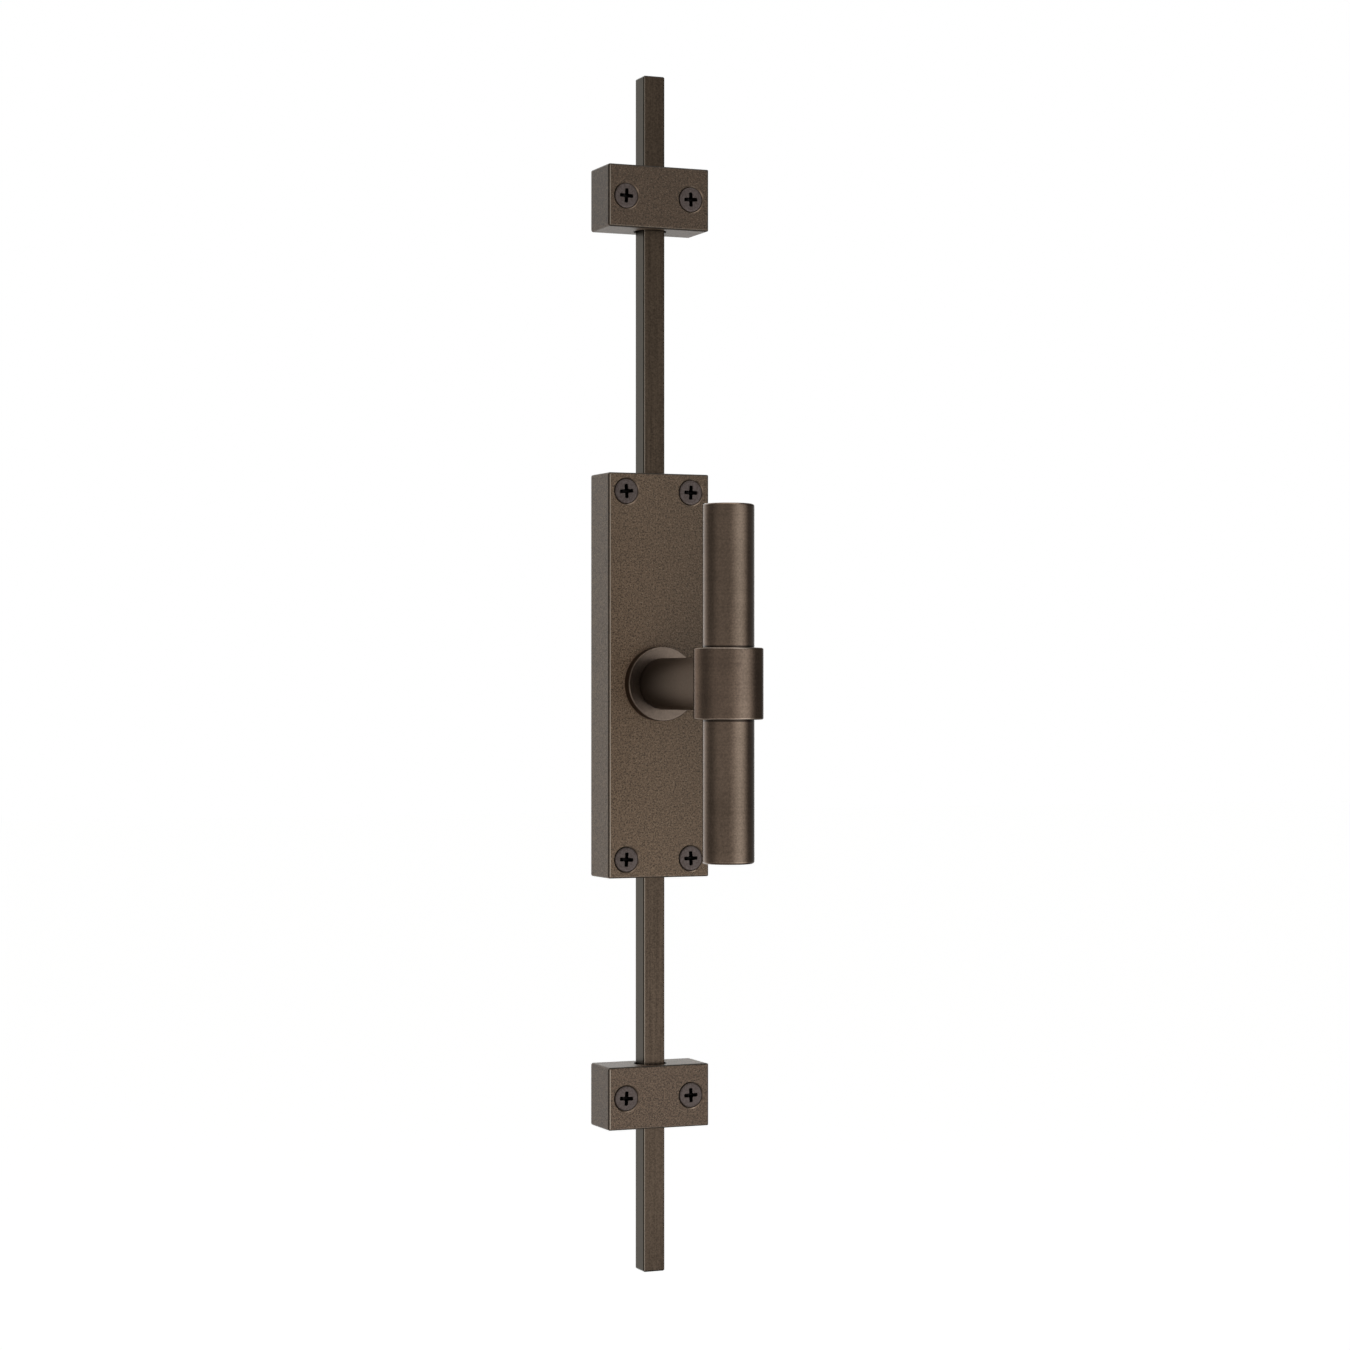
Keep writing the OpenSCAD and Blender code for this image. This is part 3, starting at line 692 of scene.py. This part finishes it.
# %% Mix the steel and the brass
BRUSHED_AXIS = (1300, 1300, 25)
BRUSHED_SPECKS, BRUSHED_DETAIL = 900, 3
BRUSHED_CLOUDS = 75
FLECK_SHARE, STREAK_SHARE, PATCH_SHARE = 0.35, 0.45, 0.2
BRUSHED_ROUGHNESS, BRUSHED_UNEVENNESS = 0.30, 0.1
INSIDE_SHADE_BEGINS = (0.1 * MM, 0.4 * MM)


def machined_metal(name, dark, light, inside_shade=0.0):
    """Brushed metal. The last argument is the share of painted shade, almost black, inside the case, in front
    of the plane y = 0.
    """
    material, graph, place = new_finish(name)
    flecks = noise(graph, place, BRUSHED_SPECKS, BRUSHED_DETAIL)
    streaks = streaks_of(graph, place, BRUSHED_AXIS)
    patches = noise(graph, place, BRUSHED_CLOUDS)
    tone = flecks * FLECK_SHARE + streaks * STREAK_SHARE + patches * PATCH_SHARE
    # Painted shade: the part inside the case, behind the plate's face, turns almost black.
    inside = graph.rise(graph.axis(place, "Y") * -1, *INSIDE_SHADE_BEGINS)
    colour = graph.mix(inside * inside_shade, toned(graph, tone, dark, light), NEAR_BLACK_SHADE)
    metal(graph, colour, BRUSHED_ROUGHNESS + tone * BRUSHED_UNEVENNESS, bumped(graph, tone))
    return material


steel = machined_metal("machined_steel", (0.17, 0.17, 0.175, 1), (0.25, 0.25, 0.258, 1))
hardened = machined_metal("hardened_steel", (0.08, 0.08, 0.084, 1), (0.12, 0.12, 0.125, 1), inside_shade=0.9)
brass = machined_metal("machined_brass", (0.55, 0.40, 0.17, 1), (0.66, 0.50, 0.24, 1))
print("made", steel.name, hardened.name, "and", brass.name)

# %% [markdown]
# The screws are countersunk wood screws. Only their heads show: a flat disc with a cross recess for the
# driver. A lathe shape could give the disc but not the cross, so a screw is made as a loft, which is a stack
# of loops that all have the same number of points, joined into one skin. The first loops are crosses, so
# this cell draws a cross as a ring of points, one quarter at a time.

# %% Outline the cross recess
CROSS_SPAN = 5.0 * MM
CROSS_WING = 1.25 * MM
CROSS_DEPTH = 2.2 * MM
ARM_STEPS = 4
TIP_ROUND = 0.5
TIP_BEVEL = 0.3
ARM_FOOT = 1.4
INNER_CORNER = 1.12


def cross_outline(span, wing):
    """Points round a cross with rounded arms. Every cross has the same number of them."""
    reach, half = span / 2, wing / 2
    tip, foot, inner = half * TIP_ROUND, half * ARM_FOOT, half * INNER_CORNER
    outer = reach - tip
    arm = [(outer + (foot - outer) * i / ARM_STEPS, half) for i in range(ARM_STEPS + 1)]
    side = [(reach, 0), (reach, half - tip), (reach - tip * TIP_BEVEL, half - tip * TIP_BEVEL)] + arm
    quarter = side + [(inner, inner)] + [(z, x) for x, z in reversed(side[1:])]
    points = []
    for _ in range(4):
        points += quarter
        quarter = [(-z, x) for x, z in quarter]
    return points


outline = cross_outline(CROSS_SPAN, CROSS_WING)
print("points round the cross:", len(outline))

# %% [markdown]
# The other loops are circles with a point in each direction of the cross. Behind the door's face the thread
# begins: there each point of a loop moves out while the ridge passes it, a little later from one point to
# the next, so the ridge winds round the core.

# %% Draw the loops of a screw
SHANK_R = 2.2 * MM
CREST_R = 2.5 * MM
CORE_R = 1.7 * MM
PITCH = 2.2 * MM
POINT_L = 5 * MM
POINT_BULGE = 0.7
RIDGE_SHARE = 0.7


def cross_loop(span, wing, depth):
    return [(x, depth, z) for x, z in cross_outline(span, wing)]


def circle_loop(radius, depth):
    angles = [math.atan2(z, x) for x, z in outline]
    return [(radius * math.cos(a), depth, radius * math.sin(a)) for a in angles]


def thread_loop(depth, start):
    """A loop across the thread, which starts at that depth and thins out at the point."""
    grown = min(1, (depth - start) / PITCH)
    thinned = min(1, (SCREW_L - depth) / POINT_L) ** POINT_BULGE
    core = SHANK_R + (CORE_R - SHANK_R) * grown
    points = []
    for x, z in outline:
        angle = math.atan2(z, x)
        phase = (depth / PITCH - angle / math.tau) % 1
        ridge = max(0, math.cos((phase - 0.5) * math.pi / RIDGE_SHARE))
        radius = (core + (CREST_R - core) * ridge * grown) * thinned
        points.append((radius * math.cos(angle), depth, radius * math.sin(angle)))
    return points


print("turns of the thread:", round((SCREW_L + HEAD_Y) / PITCH, 1))

# %% [markdown]
# The stack runs from the bottom of the recess up to the head's face, outwards over the rounded edge, and
# down the head's cone and the smooth shank into the thread. Twelve loops to a turn keep the thread round.

# %% Stack the loops of a screw
HEAD_RIM = 0.45 * MM
HEAD_ROUND = 0.4 * MM
EDGE = 0.06 * MM
FACE_LOOP = 0.75
TURN_ROWS = 12
ROUNDING = [(1, 0), (0.5, 0.13), (0.13, 0.5), (0, 1)]
RECESS_NARROWED = [(0.50, 0.80, 1), (0.78, 0.92, 0.5)]


def head_loops():
    recess = [
        cross_loop(CROSS_SPAN * span, CROSS_WING * wing, CROSS_DEPTH * depth)
        for span, wing, depth in RECESS_NARROWED
    ]
    lips = [
        cross_loop(CROSS_SPAN, CROSS_WING, EDGE),
        cross_loop(CROSS_SPAN + EDGE, CROSS_WING + EDGE, 0),
        circle_loop(HEAD_R * FACE_LOOP, 0),
    ]
    rounded = [circle_loop(HEAD_R - HEAD_ROUND * inward, HEAD_ROUND * down) for inward, down in ROUNDING]
    return recess + lips + rounded + [circle_loop(HEAD_R, HEAD_RIM)]


def screw_loops():
    cone_end = HEAD_RIM + HEAD_R - SHANK_R
    thread_start = -HEAD_Y - PITCH / 2
    shank = [
        circle_loop(SHANK_R + EDGE * 2, cone_end - EDGE * 2),
        circle_loop(SHANK_R, cone_end + EDGE * 2),
        circle_loop(SHANK_R, thread_start),
    ]
    rows = int((SCREW_L - thread_start) / PITCH * TURN_ROWS)
    depths = [thread_start + PITCH * row / TURN_ROWS for row in range(1, rows)]
    return head_loops() + shank + [thread_loop(depth, thread_start) for depth in depths]


print("loops in a screw:", len(screw_loops()))

# %% [markdown]
# Faces between neighbouring loops close the skin, with a fan of triangles at the bottom of the cross and
# at the point. Edges that turn sharply are marked sharp, so the head stays crisp and the thread smooth.
# Each set of screws then takes the place of its plain solid and moves with the case.

# %% Skin the screws and set them in place
SHARP = math.radians(50)
TURNED_IN = [math.radians(degrees) for degrees in (3, -2, -4, 2)]
RECESS_POINT = CROSS_DEPTH * 1.2


def skin(mesh_builder, loops, first, last):
    """Joins the loops into one closed skin between a first and a last point."""
    rows = [[mesh_builder.verts.new(point) for point in loop] for loop in loops]
    start, end = mesh_builder.verts.new(first), mesh_builder.verts.new(last)
    count = len(rows[0])
    for i in range(count):
        j = (i + 1) % count
        mesh_builder.faces.new((start, rows[0][i], rows[0][j]))
        mesh_builder.faces.new((end, rows[-1][j], rows[-1][i]))
        for near, far in zip(rows, rows[1:]):
            mesh_builder.faces.new((near[i], far[i], far[j], near[j]))


def set_screws(node, spots):
    mesh_builder = bmesh.new()
    loops = screw_loops()
    for (x, z), turn in zip(spots, TURNED_IN):
        place = Matrix.Translation((x, HEAD_Y, z)) @ Matrix.Rotation(turn, 4, "Y")
        placed = [[place @ Vector(point) for point in loop] for loop in loops]
        skin(mesh_builder, placed, place @ Vector((0, RECESS_POINT, 0)), place @ Vector((0, SCREW_L, 0)))
    bmesh.ops.recalc_face_normals(mesh_builder, faces=mesh_builder.faces)
    for face in mesh_builder.faces:
        face.smooth = True
    for edge in mesh_builder.edges:
        edge.smooth = edge.calc_face_angle(0) < SHARP
    mesh = bpy.data.meshes.new(node + "_threaded")
    mesh_builder.to_mesh(mesh)
    mesh_builder.free()
    screws = bpy.data.objects.new(mesh.name, mesh)
    bpy.context.scene.collection.objects.link(screws)
    screws.data.materials.append(blackened)
    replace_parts(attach(screws, "case"), node)
    return screws


for node, heights in SCREW_ROWS.items():
    screws = set_screws(node, [(x, z) for z in heights for x in (-SCREW_X, SCREW_X)])
    print(screws.name, "faces:", len(screws.data.polygons))

# %% [markdown]
# Each piece now gets its finish. A finish could be set face by face, but every piece is of one metal, so one
# material each is enough. The pieces stay as they were built.

# %% Dress the pieces
FINISHES = {
    blasted_case: ["case"],
    blasted_upper: ["upper_guide"],
    blasted_lower: ["lower_guide"],
    turned_upright: ["grip_bar"],
    turned_ring: ["grip_ring"],
    turned_collar: ["collar"],
    turned_neck: ["handle_neck"],
    drawn_upper: ["upper_rod"],
    drawn_lower: ["lower_rod"],
    blackened: ["set_screw", "case_screws", "upper_guide_screws", "lower_guide_screws"],
    steel: [
        "back_plate", "drive_spindle", "pinion", "upper_rack", "lower_rack", "upper_rod_pin", "lower_rod_pin",
    ],
    hardened: ["back_plate_screws", "spring_washer", "bar_screw"],
    brass: ["thrust_washer"],
}
for finish, names in FINISHES.items():
    for name in names:
        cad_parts[name].data.materials.clear()
        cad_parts[name].data.materials.append(finish)
print("dressed", sum(len(names) for names in FINISHES.values()), "pieces")

# %% [markdown]
# The dressed bolt may not grow past the solids that it stands for, so the solids' box is written down.

# %% Write down the solids' box
print("cad box:", cad_box)
